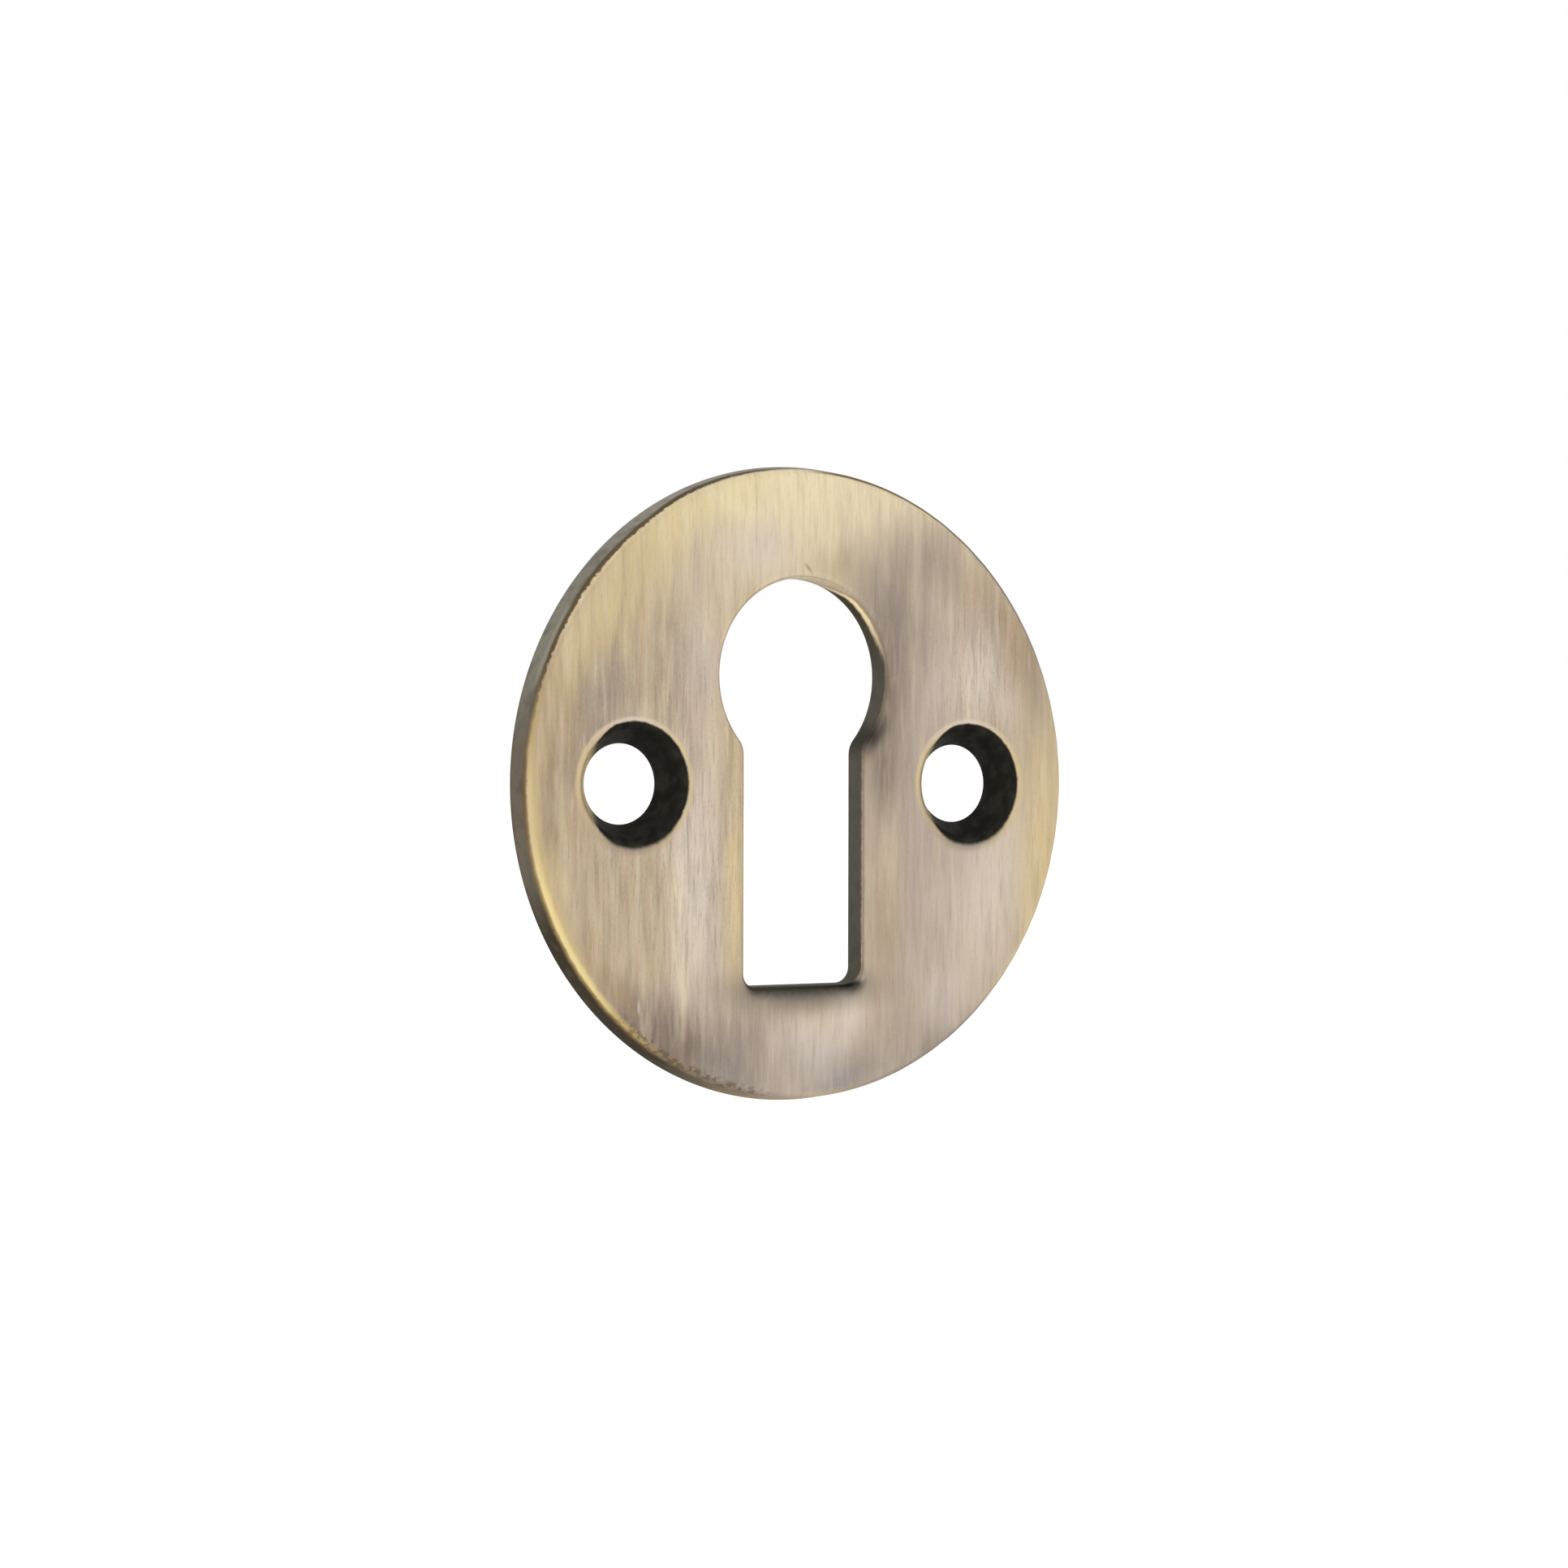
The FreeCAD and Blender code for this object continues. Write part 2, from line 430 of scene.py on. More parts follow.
class Nodes:
    """A node tree, built by short calls that each add a node and give back its output."""

    def __init__(self, tree):
        self.tree = tree
        self.tree.nodes.clear()

    def add(self, kind, inputs, output=0, **settings):
        """A node with its settings, and its inputs by name or number: a value, or another's output."""
        node = self.tree.nodes.new(kind)
        for name, value in settings.items():
            setattr(node, name, value)
        for name, value in inputs.items():
            if isinstance(value, bpy.types.NodeSocket):
                self.tree.links.new(value, node.inputs[name])
            else:
                node.inputs[name].default_value = value
        return node.outputs[output]

    def surface(self, shader, output="ShaderNodeOutputMaterial"):
        """Makes a shader the surface of the material or the world."""
        self.tree.links.new(shader, self.tree.nodes.new(output).inputs["Surface"])

    def maths(self, operation, first, second=0.0):
        return self.add("ShaderNodeMath", {0: first, 1: second}, operation=operation)

    def plus(self, first, second):
        return self.maths("ADD", first, second)

    def minus(self, first, second):
        return self.maths("SUBTRACT", first, second)

    def times(self, first, *others):
        """The product of all the values."""
        for other in others:
            first = self.maths("MULTIPLY", first, other)
        return first

    def largest(self, first, *others):
        """The largest of all the values."""
        for other in others:
            first = self.maths("MAXIMUM", first, other)
        return first

    def vectors(self, operation, first, second):
        return self.add("ShaderNodeVectorMath", {0: first, 1: second}, operation=operation)

    def coordinate(self, place, axis):
        return self.add("ShaderNodeSeparateXYZ", {"Vector": place}, output=axis)

    def attribute(self, name):
        return self.add("ShaderNodeAttribute", {}, output="Fac", attribute_name=name)

    def rise(self, value, low, high, bottom=0.0, top=1.0):
        """Goes smoothly from bottom to top as the value goes from low to high."""
        inputs = {"Value": value, "From Min": low, "From Max": high, "To Min": bottom, "To Max": top}
        return self.add("ShaderNodeMapRange", inputs, interpolation_type="SMOOTHSTEP")

    def band(self, value, low, full, fading, gone):
        """1 where the value is between full and fading, going smoothly to 0 at low and at gone."""
        return self.times(self.rise(value, low, full), self.rise(value, gone, fading))

    def mix(self, share, first, second):
        """The first colour, with a share of the second over it."""
        inputs = {0: share, 6: first, 7: second}
        return self.add("ShaderNodeMix", inputs, output=2, data_type="RGBA")

    def lay(self, colour, tone, *shares):
        """The colour, with a tone over it by the product of its shares."""
        return self.mix(self.times(*shares), colour, tone)

    def grain(self, place, size, detail=2.0, roughness=0.5):
        """Noise from 0 to 1 around 0.5, whose lumps have the given size in millimetres along X, Y and Z."""
        scaled = self.vectors("MULTIPLY", place, tuple(1 / s for s in size))
        inputs = {"Vector": scaled, "Scale": 1.0, "Detail": detail, "Roughness": roughness}
        return self.add("ShaderNodeTexNoise", inputs)

    def patch(self, place, centre, half_size, lean=0):
        """A soft oval that is 1 at its centre and 0 past its edge, leaning clockwise by some degrees.

        It runs right through the plate along Y.
        """
        inputs = {
            "Vector": place,
            "Location": (centre[0], 0, centre[1]),
            "Rotation": (0, math.radians(lean), 0),
            "Scale": (half_size[0], RIGHT_THROUGH, half_size[1]),
        }
        local = self.add("ShaderNodeMapping", inputs, vector_type="TEXTURE")
        ball = self.add("ShaderNodeTexGradient", {"Vector": local}, output="Fac", gradient_type="SPHERICAL")
        return self.rise(ball, 0.0, 1.0)

    def patched(self, colour, place, patches):
        """The colour with soft patches laid over it, one after another."""
        for tone, share, centre, half_size, lean in patches:
            colour = self.lay(colour, tone, self.patch(place, centre, half_size, lean), share)
        return colour

    def dial(self, place, tones):
        """A colour and its share by the direction from the centre, from tones at angles of -180 to 180."""
        turn = self.maths("ARCTAN2", self.coordinate(place, "Z"), self.coordinate(place, "X"))
        share = self.plus(self.maths("DIVIDE", turn, 2 * math.pi), 0.5)
        ramp = self.tree.nodes.new("ShaderNodeValToRGB")
        self.tree.links.new(share, ramp.inputs["Fac"])
        stops = ramp.color_ramp.elements
        for angle, tone in tones[1:-1]:
            stops.new((angle + 180) / 360).color = tone
        stops[0].color = tones[0][1]
        stops[-1].color = tones[-1][1]
        return ramp.outputs["Color"], ramp.outputs["Alpha"]

    def facing(self, place, side):
        """1 on a side, given as an angle from +X towards +Z and the cosines from it between which the
        value rises."""
        degrees, edge, full = side
        turn = math.radians(degrees)
        towards = (math.cos(turn), 0.0, math.sin(turn))
        flat = self.vectors("MULTIPLY", place, (1.0, 0.0, 1.0))
        outwards = self.add("ShaderNodeVectorMath", {0: flat}, operation="NORMALIZE")
        inputs = {0: outwards, 1: towards}
        cosine = self.add("ShaderNodeVectorMath", inputs, output="Value", operation="DOT_PRODUCT")
        return self.rise(cosine, edge, full)


def new_material(name):
    """A material without nodes, and the tree to build it in."""
    material = bpy.data.materials.new(name)
    material.use_nodes = True
    return material, Nodes(material.node_tree)


def seen(red, green, blue):
    """A colour given as it looks, from 0 to 255, as the linear values that a shader takes."""
    parts = [c / 255 for c in (red, green, blue)]
    return tuple(c / 12.92 if c <= 0.04045 else ((c + 0.055) / 1.055) ** 2.4 for c in parts) + (1.0,)


def faint(tone, share):
    """A tone of which only a share is laid on."""
    return tone[:3] + (share,)


# The face's tones. Brushing has cut through the brown patina unevenly, down to straw-coloured brass. Some
# of the tones are also laid as painted reflection and painted shade.
TAN = seen(191, 172, 142)
STRAW = seen(235, 220, 185)
BUTTER = seen(230, 212, 160)
CREAM = seen(214, 200, 184)
MIST = seen(190, 180, 176)
ROSE_GREY = seen(179, 164, 151)
SMOKE = seen(148, 135, 124)
ASH = seen(148, 139, 132)
ROSE = seen(198, 172, 155)
SAGE = seen(180, 173, 152)
UMBER = seen(126, 111, 99)
BRASS = seen(209, 188, 145)
SIENNA = seen(168, 144, 114)
# Painted shade below the keyhole's foot
FOOT_SHADE_GREY = seen(112, 104, 98)

# The tones of the worked edges and the walls
# Worn bright brass with a painted highlight, for the keyhole head's upper right rounding
WORN_BRASS_HIGHLIGHT = seen(248, 228, 186)
# Pale worn brass with a painted highlight, for the rim's lower left edge
PALE_BRASS_HIGHLIGHT = seen(228, 208, 150)
GOLD = seen(206, 184, 130)
OLD_BRASS = seen(184, 161, 110)
BRONZE = seen(130, 115, 91)
RUST = seen(126, 98, 62)
OLIVE_BROWN = seen(92, 78, 56)
STONE = seen(162, 156, 145)
PEWTER = seen(144, 140, 127)
TAUPE = seen(118, 109, 95)
WALL_BROWN = seen(70, 63, 50)
SINK_BLACK = seen(38, 37, 33)
SINK_GREY = seen(60, 58, 52)
SLOT_OLIVE = seen(98, 93, 84)
SLOT_MOSS = seen(92, 87, 77)
HEAD_OLIVE = seen(68, 64, 48)
# Painted shade along the keyhole's foot, and a dark spot at its right shoulder
SHADE_AND_SPOT_BROWN = seen(62, 59, 52)

# Where the brushing left more or less patina, and where the face carries painted reflection and shade: the
# tone, how much of it, the patch's centre in X and Z from the plate's centre, its half width and half
# height in millimetres, and its lean in degrees. The broad straw patch over the top is a painted reflection
# that makes the top brighter. The broad rose-grey ones down the right and along the bottom are painted
# shade.
PATINA_AND_REFLECTION_PATCHES = [
    # Painted shade: broad rose-grey down the right and along the bottom
    (ROSE_GREY, 1.0, (7.6, -2.0), (8.5, 30.0), 0),
    (ROSE_GREY, 1.0, (-2.5, -16.0), (13.0, 8.5), 0),
    # Painted reflection: the broad straw patch that brightens the top of the face
    (STRAW, 1.0, (-1.0, 17.0), (17.0, 12.0), 10),
    (BUTTER, 0.8, (-6.3, 13.6), (2.0, 8.0), 64),
    (CREAM, 0.8, (-2.8, 11.8), (3.4, 2.4), 0),
    (SIENNA, 0.4, (1.8, 11.0), (2.2, 1.5), 0),
    (STRAW, 0.4, (4.2, 14.2), (2.8, 1.6), -15),
    (STRAW, 0.4, (-4.8, 14.2), (3.2, 1.2), 18),
    (BRASS, 1.0, (-10.6, 9.2), (3.0, 8.5), 42),
    (BRASS, 0.5, (-13.0, 5.6), (1.2, 3.0), 24),
    (SIENNA, 1.0, (-14.3, 0.2), (2.6, 8.0), 4),
    (SMOKE, 0.45, (-13.8, 0.2), (1.4, 2.8), 0),
    (BRASS, 0.35, (-14.0, -4.2), (1.2, 2.4), 0),
    (SIENNA, 0.6, (-12.2, -8.4), (1.6, 2.6), 0),
    (CREAM, 1.0, (-6.4, -5.0), (2.8, 13.0), 0),
    (CREAM, 0.4, (-6.2, 7.0), (2.6, 9.0), 0),
    (MIST, 0.4, (-6.0, 6.0), (1.8, 2.6), 0),
    (SMOKE, 0.7, (-11.8, 3.2), (1.7, 5.5), 0),
    (SMOKE, 0.45, (-8.0, 5.2), (2.6, 6.0), 0),
    (SMOKE, 0.45, (-10.4, 4.2), (1.6, 2.8), 0),
    (BRASS, 1.0, (-4.2, -3.5), (0.9, 10.0), 0),
    (SMOKE, 0.95, (5.0, 8.6), (3.8, 6.2), -20),
    (SMOKE, 0.75, (7.4, 11.4), (2.7, 3.4), -52),
    (SIENNA, 0.4, (10.0, 10.0), (1.7, 2.0), -30),
    (SMOKE, 0.7, (4.9, 2.6), (2.5, 7.0), 0),
    (CREAM, 0.4, (8.2, 5.0), (1.6, 4.4), 0),
    (CREAM, 0.95, (10.6, 5.4), (2.3, 4.0), 12),
    (CREAM, 0.45, (12.2, 4.0), (1.6, 2.2), 0),
    (SMOKE, 0.3, (12.0, 8.2), (1.5, 1.8), -20),
    (SIENNA, 0.9, (13.2, 7.4), (2.5, 4.8), -28),
    (SMOKE, 0.6, (14.4, 4.4), (1.5, 4.6), -12),
    (CREAM, 0.85, (11.4, -5.4), (4.0, 8.0), 15),
    (BRASS, 1.0, (14.7, -4.6), (2.8, 12.0), 0),
    (SIENNA, 0.5, (4.8, -6.0), (1.4, 8.0), 0),
    (UMBER, 0.8, (4.9, 5.2), (1.5, 4.8), 0),
    (UMBER, 0.75, (4.6, 0.6), (1.2, 3.2), 0),
    (UMBER, 1.0, (-7.2, -13.1), (5.2, 3.5), 40),
    (UMBER, 1.0, (-9.6, -12.2), (2.6, 5.2), -52),
    (SIENNA, 0.8, (-11.1, -10.0), (0.9, 3.6), -42),
    (SMOKE, 0.3, (-6.0, -10.2), (1.6, 2.2), 0),
    (SMOKE, 0.85, (-4.0, -13.2), (2.8, 4.0), 10),
    (UMBER, 0.6, (-5.1, -14.0), (1.2, 3.0), -70),
    (SMOKE, 0.3, (-2.0, -12.0), (1.7, 1.8), 0),
    (ASH, 0.8, (-4.6, -14.8), (3.4, 2.6), 15),
    (SMOKE, 0.2, (5.4, -12.6), (4.0, 3.0), 0),
    (CREAM, 0.75, (0.2, -12.7), (3.2, 2.0), 0),
    (CREAM, 0.9, (2.4, -11.8), (2.0, 2.6), 25),
    (CREAM, 0.5, (8.4, -10.8), (2.2, 2.8), 20),
    # Painted shade: a soft grey band along the rim's edge at the lower right
    (SMOKE, 0.8, (8.2, -13.6), (1.4, 4.8), 60),
    (ASH, 1.0, (2.2, -14.9), (3.2, 2.0), -15),
    (ASH, 0.5, (5.8, -14.4), (3.6, 2.2), -25),
    (MIST, 0.6, (0.6, -13.9), (3.4, 2.2), 0),
    (MIST, 0.4, (8.2, -12.0), (2.0, 2.4), 0),
]

# Small marks over the brushing: a nick above the keyhole's head and a scratch at the lower left
MARKS = [
    (UMBER, 0.6, (0.1, 10.85), (0.14, 0.5), -42),
    (CREAM, 0.6, (-9.65, -10.95), (0.12, 0.55), 0),
]

# A patch's half depth, which is so large that the patch is the same at the front and the back
RIGHT_THROUGH = 1000.0

# The brushing's grains, by the size of their lumps in millimetres along X, Y and Z
GRAINS = {
    "broad": (0.8, 3.0, 6.0),
    "middle": (0.26, 1.2, 3.4),
    "fine": (0.07, 0.6, 1.2),
    "tinge": (0.5, 1.5, 2.2),
    "specks": (0.1, 0.1, 0.2),
}

# The streaks: a grain, its level at which the tone has its full share, that share, and the tone
STREAKS = [
    ("tinge", 0.25, 0.4, ROSE), ("tinge", 0.75, 0.4, SAGE), ("broad", 0.2, 0.36, SMOKE),
    ("broad", 0.8, 0.36, STRAW), ("middle", 0.2, 0.38, SMOKE), ("middle", 0.8, 0.34, CREAM),
    ("specks", 0.2, 0.18, UMBER), ("specks", 0.8, 0.14, CREAM), ("fine", 0.2, 0.3, UMBER),
]

# How far the brush has drawn out the patches' ends along X and Z
SWAY_X = 0.4
SWAY_Z = 2.4

# How strong the streaks are where they are weakest and keenest, and the keenest patches' centres and
# half sizes
KEENNESS = (0.6, 1.4)
KEEN_PATCHES = [((-7.8, -1.0), (12.0, 17.0)), ((10.4, 6.0), (5.0, 8.0))]

# How rough the brass is: between its streaks and on them, and in its recesses
STREAK_ROUGHNESS = (0.46, 0.32)
RECESS_ROUGHNESS = 0.6
EDGE_TINT = (0.6, 0.6, 0.6, 1.0)
BUMP_STRENGTH = 0.2
BUMP_HEIGHT = 0.00002

# The tones round the rim's wall and round its front edge, at angles from +X towards +Z. The wall's are its
# dark patina, with painted shade that makes it darkest at the lower left and paler from the bottom round
# the right to the top. The edge's are its wear, with a painted highlight in pale brass at the lower left
# and painted shade in smoke along the bottom and lower right. The face's own tone runs out to the wall
# where the edge's share is nothing.
RIM_WALL_PATINA_AND_SHADE = [
    (-180, TAUPE), (-164, TAUPE), (-152, WALL_BROWN), (-120, WALL_BROWN), (-108, BRONZE), (-98, SIENNA),
    (-86, TAN), (60, STONE), (118, STONE), (138, PEWTER), (158, PEWTER), (174, TAUPE), (180, TAUPE),
]
RIM_EDGE_WEAR_AND_LIGHT = [
    (-180, BRASS), (-170, BRASS), (-160, PALE_BRASS_HIGHLIGHT), (-149, PALE_BRASS_HIGHLIGHT), (-140, faint(PALE_BRASS_HIGHLIGHT, 0.9)),
    (-131, OLD_BRASS), (-121, faint(BRONZE, 0.9)), (-108, faint(UMBER, 0.9)), (-98, faint(SMOKE, 0.7)),
    (-88, faint(TAN, 0.7)), (-72, faint(SMOKE, 0.7)), (-52, faint(SMOKE, 0.9)), (-35, BRASS),
    (8, faint(BRASS, 0.8)), (28, faint(SMOKE, 0.8)), (48, faint(SMOKE, 0.7)), (62, faint(BRASS, 0.8)),
    (78, faint(BRASS, 0.5)), (92, faint(STRAW, 0.0)), (146, faint(SIENNA, 0.0)),
    (158, faint(SIENNA, 0.5)), (170, OLD_BRASS), (180, BRASS),
]

# Sides of the rim, each as an angle from +X towards +Z and the cosines from it where a mark on that
# side starts and where it is full
FRINGED_SIDE = (196, 0.9, 0.98)
SPOTTED_SIDE = (244, 0.93, 0.985)
WARM_SIDE = (206, 0.75, 0.9)
LEFT_SIDE = (176, 0.96, 0.99)
LINED_SIDE = (130, 0.72, 0.9)
PALE_SIDE = (154, 0.985, 0.997)
TOP_SIDE = (100, 0.9, 0.985)
EDGED_SIDE = (60, 0.85, 0.93)

# Sides of the keyhole's head and of a countersink, given in the same way
HEAD_TOP = (90, 0.78, 0.98)
HEAD_UPPER_HALF = (90, 0.1, 0.5)
SINK_BOTTOM = (-90, 0.4, 0.95)
SINK_LEFT_HALF = (180, 0.3, 1.0)
SINK_LEFT = (180, 0.65, 0.9)

# The tones round a countersink's lip: worn brass, with painted shade in smoke at the bottom and a painted
# highlight in cream at the top
SINK_LIP_WEAR_AND_LIGHT = [
    (-180, BRASS), (-90, SMOKE), (-30, BRASS), (35, BRASS), (90, CREAM), (150, BRASS), (180, BRASS),
]

# The keyhole's wall: darkest over the head, grey below it, and a dark spot at the right shoulder
WALL_PATCHES = [
    (HEAD_OLIVE, 1.0, (3.0, 10.2), (9.0, 7.2), 0),
    (SHADE_AND_SPOT_BROWN, 0.9, (3.85, 2.3), (1.4, 1.4), 0),
    (SLOT_MOSS, 0.8, (3.5, -9.0), (2.0, 5.0), 0),
]


def antique_brass():
    """Brushed brass over a dark patina: bright worn edges, streaks up and down, dull dark recesses."""
    material, nodes = new_material("antique_brass")
    metres = nodes.add("ShaderNodeTexCoord", {}, output="Object")
    place = nodes.vectors("MULTIPLY", metres, (METRE, METRE, METRE))
    grains = {name: nodes.grain(place, size) for name, size in GRAINS.items()}
    mottle = nodes.grain(place, (0.7, 0.7, 0.9), detail=4.0)
    nicks = nodes.grain(place, (0.3, 0.3, 0.3), detail=3.0, roughness=0.6)

    colour = brushed_face(nodes, place, grains)
    colour, rim_wall = rim_finish(nodes, colour, place, nicks, mottle)
    colour, keyhole_wall = keyhole_finish(nodes, colour, place, nicks, mottle)
    colour, sink_wall = sink_finish(nodes, colour, place, nicks, mottle)
    colour, back = back_finish(nodes, colour, place, mottle)

    streaks = nodes.plus(nodes.times(grains["middle"], 0.6), nodes.times(grains["fine"], 0.4))
    brushed = nodes.rise(streaks, 0.3, 0.7, *STREAK_ROUGHNESS)
    recess = nodes.largest(rim_wall, keyhole_wall, sink_wall, back)
    roughness = nodes.rise(recess, 0.0, 1.0, brushed, RECESS_ROUGHNESS)
    inputs = {"Strength": BUMP_STRENGTH, "Distance": BUMP_HEIGHT, "Height": streaks}
    bump = nodes.add("ShaderNodeBump", inputs)
    inputs = {
        "Base Color": colour, "Metallic": 1.0, "Roughness": roughness, "Normal": bump,
        "Specular Tint": EDGE_TINT,
    }
    nodes.surface(nodes.add("ShaderNodeBsdfPrincipled", inputs))
    return material


def brushed_face(nodes, place, grains):
    """The front face: tan brass with its patches of patina and of painted reflection and shade, whose ends
    the brush has drawn out up and down.

    The streaks are keenest on the plate's left and beside the keyhole's head on the right.
    """
    sway = nodes.add("ShaderNodeCombineXYZ", {
        "X": nodes.times(nodes.minus(grains["middle"], 0.5), SWAY_X),
        "Z": nodes.times(nodes.minus(grains["broad"], 0.5), SWAY_Z),
    })
    colour = nodes.patched(TAN, nodes.vectors("ADD", place, sway), PATINA_AND_REFLECTION_PATCHES)
    keenest = nodes.largest(*[nodes.patch(place, *patch) for patch in KEEN_PATCHES])
    keen = nodes.rise(keenest, 0.0, 1.0, *KEENNESS)
    for grain, level, share, tone in STREAKS:
        amount = nodes.rise(grains[grain], 0.5, level, 0.0, nodes.times(keen, share))
        colour = nodes.mix(amount, colour, tone)
    return nodes.patched(colour, place, MARKS)


def rim_finish(nodes, colour, place, nicks, mottle):
    """The rim: a dark patina wall with painted shade that darkens it at the lower left, a front edge that
    is worn bright with a painted highlight at the lower left, and the wall's share.
    """
    run = nodes.attribute("rim_run")
    jag = nodes.minus(nicks, 0.5)
    uneven = nodes.plus(run, nodes.times(jag, 0.2))
    colour = rim_edge(nodes, colour, place, run, uneven, nicks)
    # The wall's dark patina, with painted shade that darkens it at the lower left
    wall, _ = nodes.dial(place, RIM_WALL_PATINA_AND_SHADE)
    wall = nodes.mix(nodes.rise(mottle, 0.45, 0.7, 0.0, 0.3), wall, WALL_BROWN)
    wall = nodes.mix(nodes.rise(mottle, 0.45, 0.3, 0.0, 0.25), wall, TAUPE)
    wider = nodes.times(nodes.facing(place, LEFT_SIDE), 0.16)
    on_wall = nodes.rise(nodes.plus(uneven, wider), 0.7, 1.25)
    colour = nodes.mix(on_wall, colour, wall)
    return rim_lines(nodes, colour, place, run, uneven, jag), on_wall


def rim_edge(nodes, colour, place, run, uneven, nicks):
    """The rim's worn front edge, with a painted highlight at the lower left and painted shade along the
    bottom and lower right. Gold fades in from it over the face, and brown spots break up its lower end."""
    colour = nodes.lay(colour, GOLD, nodes.facing(place, FRINGED_SIDE), nodes.rise(run, -0.5, 0.3), 0.8)
    # The edge's wear, with a painted highlight at the lower left and painted shade at the bottom and lower
    # right
    edge, share = nodes.dial(place, RIM_EDGE_WEAR_AND_LIGHT)
    colour = nodes.lay(colour, edge, share, nodes.rise(uneven, 0.0, 0.55))
    on_edge = nodes.rise(run, -0.2, 0.2)
    spots = nodes.rise(nicks, 0.47, 0.57)
    return nodes.lay(colour, OLIVE_BROWN, nodes.facing(place, SPOTTED_SIDE), on_edge, spots, 0.6)


def rim_lines(nodes, colour, place, run, uneven, jag):
    """The thin lines along the rim, where the wall meets the worn edge.

    A warm line parts the gold from the wall at the lower left. At the upper left a ragged dark line
    parts the face from the wall, with a short pale strip outside it that is a painted highlight, and it
    lies further down the wall towards the top. At the upper right a dark line edges the face.
    """
    line = nodes.band(uneven, 0.65, 0.85, 1.05, 1.3)
    colour = nodes.lay(colour, RUST, line, nodes.facing(place, WARM_SIDE), 0.55)
    over = nodes.minus(run, nodes.times(nodes.facing(place, TOP_SIDE), 0.42))
    ragged = nodes.plus(over, nodes.times(jag, 0.7))
    line = nodes.times(nodes.rise(ragged, 0.54, 0.7), nodes.rise(over, 1.3, 1.0))
    colour = nodes.lay(colour, OLIVE_BROWN, line, nodes.facing(place, LINED_SIDE), 0.95)
    # A painted highlight: a short pale strip between the wall and the edge at the upper left
    line = nodes.band(uneven, 0.95, 1.1, 1.25, 1.45)
    colour = nodes.lay(colour, STONE, line, nodes.facing(place, PALE_SIDE), 0.7)
    line = nodes.band(run, 0.3, 0.55, 1.2, 1.5)
    return nodes.lay(colour, OLIVE_BROWN, line, nodes.facing(place, EDGED_SIDE), 0.9)


def keyhole_finish(nodes, colour, place, nicks, mottle):
    """The keyhole: dark walls the brush can't reach, and their share.

    The brush has worn the head's edge further down towards its top, through to bright brass on the
    right, where a painted highlight lies over the wear.
    """
    above = nodes.vectors("SUBTRACT", place, (0.0, 0.0, HEAD_ABOVE))
    worn_top = nodes.times(nodes.facing(above, HEAD_TOP), 0.9)
    worn_down = nodes.plus(worn_top, nodes.times(nodes.facing(above, HEAD_UPPER_HALF), 0.3))
    run = nodes.minus(nodes.attribute("keyhole_run"), worn_down)
    uneven = nodes.plus(run, nodes.times(nodes.minus(nicks, 0.5), 0.3))
    colour = keyhole_shade_and_spot(nodes, colour, place, run, uneven)
    wall = nodes.patched(SLOT_OLIVE, place, WALL_PATCHES)
    wall = nodes.mix(nodes.rise(mottle, 0.4, 0.7, 0.0, 0.3), wall, WALL_BROWN)
    on_wall = nodes.rise(uneven, 0.82, 1.12)
    colour = nodes.mix(on_wall, colour, wall)
    # Worn bright brass with a painted highlight on the head's upper right rounding, with sienna inside it
    # towards the wall
    worn = nodes.patch(place, (3.5, 9.0), (3.4, 3.4))
    colour = nodes.lay(colour, SIENNA, worn, nodes.band(run, 0.2, 0.6, 1.0, 1.3))
    return nodes.lay(colour, WORN_BRASS_HIGHLIGHT, worn, nodes.band(uneven, 0.6, 0.85, 1.0, 1.3)), on_wall


def keyhole_shade_and_spot(nodes, colour, place, run, uneven):
    """The dark marks round the keyhole's edge: painted shade below the foot and along the foot's rounded
    edge, and a dark spot at the right shoulder, which reaches out over the edge."""
    # Painted shade: a soft grey band below the foot
    colour = nodes.mix(nodes.patch(place, (-0.2, -10.3), (6.8, 1.8)), colour, FOOT_SHADE_GREY)
    colour = nodes.mix(nodes.rise(uneven, 0.4, 0.95, 0.0, 0.4), colour, BRONZE)
    off_centre = nodes.maths("ABSOLUTE", nodes.coordinate(place, "X"))
    # Painted shade along the foot's rounded edge, then a dark spot at the right shoulder
    foot = nodes.rise(nodes.coordinate(place, "Z"), -9.8, -10.15)
    foot = nodes.times(foot, nodes.rise(uneven, -0.3, 0.6), nodes.rise(off_centre, 3.9, 3.2))
    shoulder = nodes.patch(place, (3.95, 2.45), (1.2, 2.0), 40)
    shoulder = nodes.times(shoulder, nodes.rise(run, -0.75, 0.0))
    return nodes.mix(nodes.largest(foot, shoulder), colour, SHADE_AND_SPOT_BROWN)


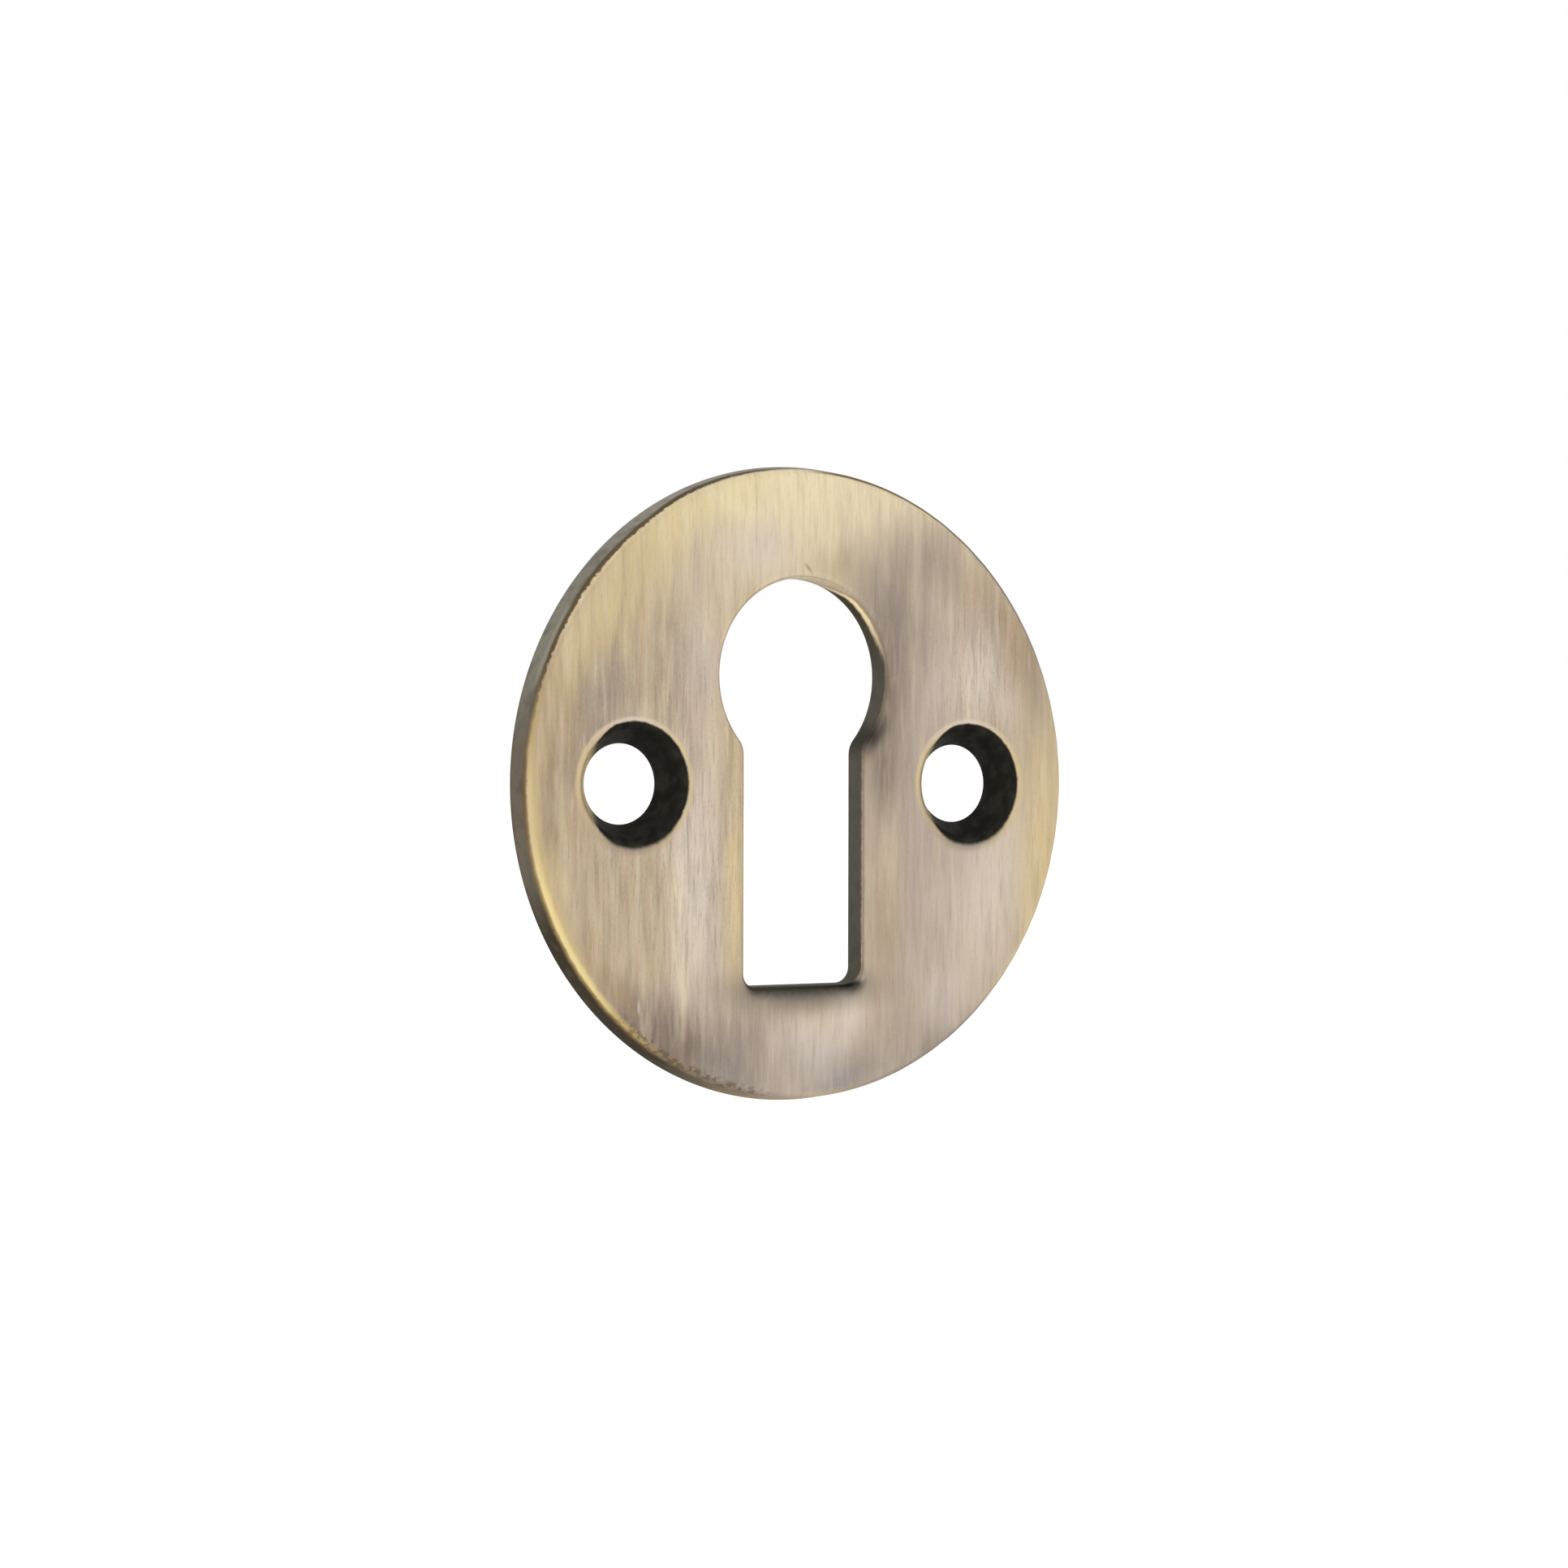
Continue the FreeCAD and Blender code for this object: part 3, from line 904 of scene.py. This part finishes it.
def sink_finish(nodes, colour, place, nicks, mottle):
    """The countersinks: nearly black inside, and their share.

    The pale lip is worn deeper on the left, where the cone is worn too. At the bottom the lip is shaded
    and fades into the dark.
    """
    side = nodes.maths("SIGN", nodes.coordinate(place, "X"))
    centre = nodes.add("ShaderNodeCombineXYZ", {"X": nodes.times(side, SCREW_SPACING / 2)})
    local = nodes.vectors("SUBTRACT", place, centre)
    uneven = nodes.plus(nodes.attribute("sink_run"), nodes.times(nodes.minus(nicks, 0.5), 0.15))
    lip, _ = nodes.dial(local, SINK_LIP_WEAR_AND_LIGHT)
    # Painted shade at the bottom: the lip's tone starts later there and the dark comes up sooner
    shaded = nodes.facing(local, SINK_BOTTOM)
    lip_start = nodes.rise(shaded, 0.0, 1.0, -0.1, -0.35)
    colour = nodes.mix(nodes.rise(uneven, lip_start, 0.1, 0.0, 0.75), colour, lip)
    deeper = nodes.times(nodes.facing(local, SINK_LEFT_HALF), 0.6)
    dark = nodes.mix(nodes.rise(mottle, 0.4, 0.7, 0.0, 0.7), SINK_BLACK, SINK_GREY)
    dark = nodes.mix(nodes.facing(local, SINK_LEFT), dark, OLD_BRASS)
    dark_start = nodes.rise(shaded, 0.0, 1.0, 0.2, 0.0)
    in_sink = nodes.rise(nodes.minus(uneven, deeper), dark_start, 0.38)
    return nodes.mix(in_sink, colour, dark), in_sink


def back_finish(nodes, colour, place, mottle):
    """The back, which lies on the door: plain dull patina all over, and its share."""
    plain = nodes.mix(nodes.rise(mottle, 0.4, 0.65, 0.0, 0.6), BRONZE, TAUPE)
    on_back = nodes.rise(nodes.coordinate(place, "Y"), -0.015, -0.003)
    return nodes.mix(on_back, colour, plain), on_back


# The camera stands to the left and just above, where it sees the left rim and the slot's right wall
VIEW_AZIMUTH = -31.74
VIEW_ELEVATION = 0.41
VIEW_ROLL = 0.14
VIEW_DISTANCE = 193.0
PICTURE_SIZE = 1932
PLATE_CENTRE_PIXEL = (972.8, 965.5)
PIXELS_PER_MM = 24.336
SENSOR = 36.0
NEAREST_SEEN = 10.0


def towards(azimuth, elevation):
    """The unit direction from the plate to a place at an azimuth and elevation, in degrees."""
    a, e = math.radians(azimuth), math.radians(elevation)
    return Vector((math.sin(a) * math.cos(e), -math.cos(a) * math.cos(e), math.sin(e)))


def make_camera():
    """A camera that puts the centre of the plate's back on its pixel, at the measured scale."""
    back = towards(VIEW_AZIMUTH, VIEW_ELEVATION)
    level = back.to_track_quat("Z", "Y").to_matrix()
    turn = level @ Matrix.Rotation(math.radians(VIEW_ROLL), 3, "Z")
    right, up = turn.col[0], turn.col[1]
    off_right = (PLATE_CENTRE_PIXEL[0] - PICTURE_SIZE / 2) / PIXELS_PER_MM
    off_down = (PLATE_CENTRE_PIXEL[1] - PICTURE_SIZE / 2) / PIXELS_PER_MM
    camera = bpy.data.objects.new("camera", bpy.data.cameras.new("camera"))
    camera.location = (back * VIEW_DISTANCE - right * off_right + up * off_down) / METRE
    camera.rotation_euler = turn.to_euler()
    camera.data.sensor_width = SENSOR
    camera.data.lens = SENSOR * PIXELS_PER_MM * VIEW_DISTANCE / PICTURE_SIZE
    camera.data.clip_start = NEAREST_SEEN / METRE
    bpy.context.scene.collection.objects.link(camera)
    bpy.context.scene.camera = camera


# The floor lies well below the plate. It and the world glow by these strengths: the floor to the
# camera, and the world to what it lights.
FLOOR_BELOW = 60.0
FLOOR_HALF = 4000.0
FLOOR_PALE = (0.9, 0.9, 0.89, 1.0)
FLOOR_GLOW = 0.5
WORLD_LIGHT = 0.7
WHITE = (1.0, 1.0, 1.0, 1.0)


def seen_ray(nodes):
    """1 for the rays that show a surface to the camera, straight, mirrored or through glass."""
    path = nodes.tree.nodes.new("ShaderNodeLightPath").outputs
    return nodes.largest(path["Is Camera Ray"], path["Is Glossy Ray"], path["Is Transmission Ray"])


def make_floor():
    """A pale floor, which glows a little to the camera and keeps the shadow."""
    material, nodes = new_material("pale_floor")
    matt = nodes.add("ShaderNodeBsdfDiffuse", {"Color": FLOOR_PALE})
    glow = nodes.add("ShaderNodeEmission", {"Strength": nodes.times(seen_ray(nodes), FLOOR_GLOW)})
    nodes.surface(nodes.add("ShaderNodeAddShader", {0: matt, 1: glow}))
    half, down = FLOOR_HALF / METRE, -FLOOR_BELOW / METRE
    corners = [(-half, -half, down), (half, -half, down), (half, half, down), (-half, half, down)]
    mesh = bpy.data.meshes.new("floor")
    mesh.from_pydata(corners, [], [(0, 1, 2, 3)])
    mesh.materials.append(material)
    floor = bpy.data.objects.new("floor", mesh)
    bpy.context.scene.collection.objects.link(floor)


def make_world():
    """A white world to the camera and in the metal, and a softer one for what it lights."""
    world = bpy.data.worlds.new("white_room")
    bpy.context.scene.world = world
    world.use_nodes = True
    nodes = Nodes(world.node_tree)
    strength = nodes.rise(seen_ray(nodes), 0.0, 1.0, WORLD_LIGHT, 1.0)
    sky = nodes.add("ShaderNodeBackground", {"Color": WHITE, "Strength": strength})
    nodes.surface(sky, "ShaderNodeOutputWorld")


def make_lamp(name, azimuth, elevation, distance, size, power):
    """A square soft lamp that faces the plate's centre from an azimuth and elevation in degrees."""
    direction = towards(azimuth, elevation)
    lamp = bpy.data.objects.new(name, bpy.data.lights.new(name, "AREA"))
    lamp.data.size = size / METRE
    lamp.data.energy = power
    lamp.location = direction * distance / METRE
    lamp.rotation_euler = direction.to_track_quat("Z", "Y").to_euler()
    bpy.context.scene.collection.objects.link(lamp)


make_camera()
make_world()
make_floor()
make_lamp("window", azimuth=-40, elevation=40, distance=500, size=350, power=0.1)
make_lamp("fill", azimuth=60, elevation=20, distance=500, size=350, power=0.05)
bpy.context.scene.view_settings.view_transform = "Standard"

plate = make_plate()
plate.data.materials.append(antique_brass())
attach(plate, "root")
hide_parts("escutcheon_plate")
